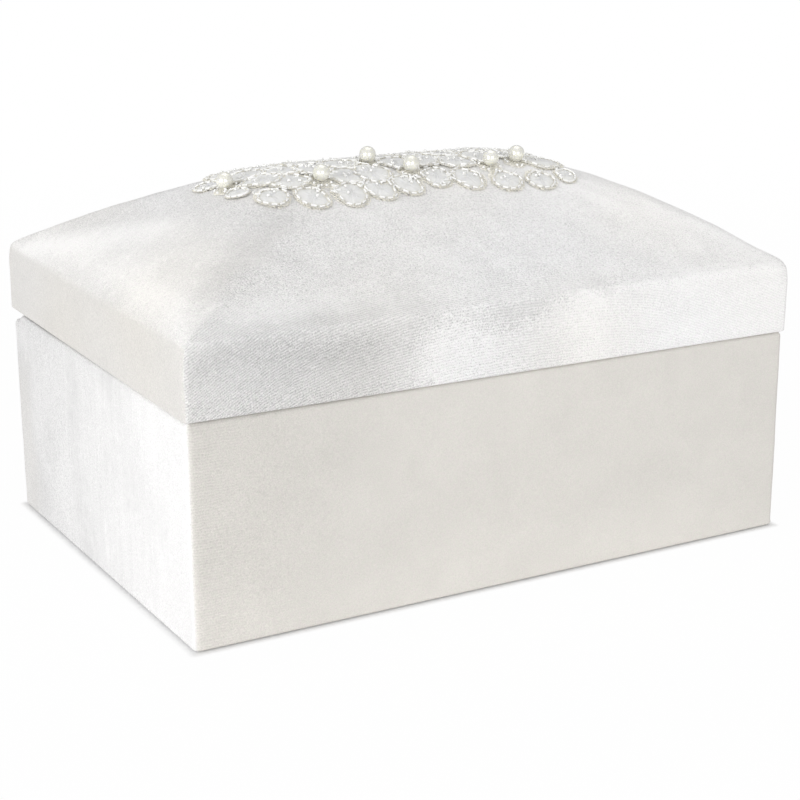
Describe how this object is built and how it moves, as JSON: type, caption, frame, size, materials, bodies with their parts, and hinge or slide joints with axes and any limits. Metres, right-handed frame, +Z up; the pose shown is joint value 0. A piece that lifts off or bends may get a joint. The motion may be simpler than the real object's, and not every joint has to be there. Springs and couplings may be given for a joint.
{
  "type": "velvet keepsake box",
  "caption": "Rectangular keepsake box covered in crushed velvet, with a padded hipped lid on a cloth hinge and a beaded lace applique.",
  "frame": {"origin": "centre of the box's footprint, on the surface that it stands on", "axes": "+X along the length, front towards -Y, hinge towards +Y, +Z up"},
  "size_m": [0.3124, 0.2249, 0.1878],
  "materials": {
    "velvet": "satin",
    "satin": "satin",
    "wadding": "matte",
    "hinge_cloth": "matte",
    "felt": "matte",
    "lace_net": "matte",
    "lace_thread": "satin",
    "greyboard": "matte",
    "lining_card": "matte",
    "pearl": "gloss",
    "bead_glass": "gloss"
  },
  "bodies": {
    "base": {"back_wall_board": "greyboard", "base_velvet_wrap": "velvet", "bottom_board": "greyboard", "bottom_filler_card": "lining_card", "bottom_sheet": "felt", "floor_pad_card": "lining_card", "floor_pad_satin": "satin", "floor_pad_wadding": "wadding", "front_wall_board": "greyboard", "hinge_cloth_lower": "hinge_cloth", "left_wall_board": "greyboard", "lining_card_back": "lining_card", "lining_card_front": "lining_card", "lining_card_left": "lining_card", "lining_card_right": "lining_card", "lining_satin_back": "satin", "lining_satin_front": "satin", "lining_satin_left": "satin", "lining_satin_right": "satin", "right_wall_board": "greyboard"},
    "lid": {"applique_bugle_beads": "bead_glass", "applique_net": "lace_net", "applique_pearls": "pearl", "applique_petals": "lace_thread", "hinge_cloth_upper": "hinge_cloth", "lid_back_rim_board": "greyboard", "lid_dome_wadding": "wadding", "lid_front_rim_board": "greyboard", "lid_left_rim_board": "greyboard", "lid_lining_card_back": "lining_card", "lid_lining_card_front": "lining_card", "lid_lining_card_left": "lining_card", "lid_lining_card_right": "lining_card", "lid_lining_satin_back": "satin", "lid_lining_satin_front": "satin", "lid_lining_satin_left": "satin", "lid_lining_satin_right": "satin", "lid_pad_card": "lining_card", "lid_pad_satin": "satin", "lid_pad_wadding": "wadding", "lid_right_rim_board": "greyboard", "lid_top_board": "greyboard", "lid_velvet_cover": "velvet"}
  },
  "joints": [
    {"name": "lid_hinge", "type": "hinge", "parent": "base", "child": "lid", "pos_m": [0, 0.1071, 0.10352], "axis": [-1, 0, 0], "range_deg": [0, 95]}
  ]
}
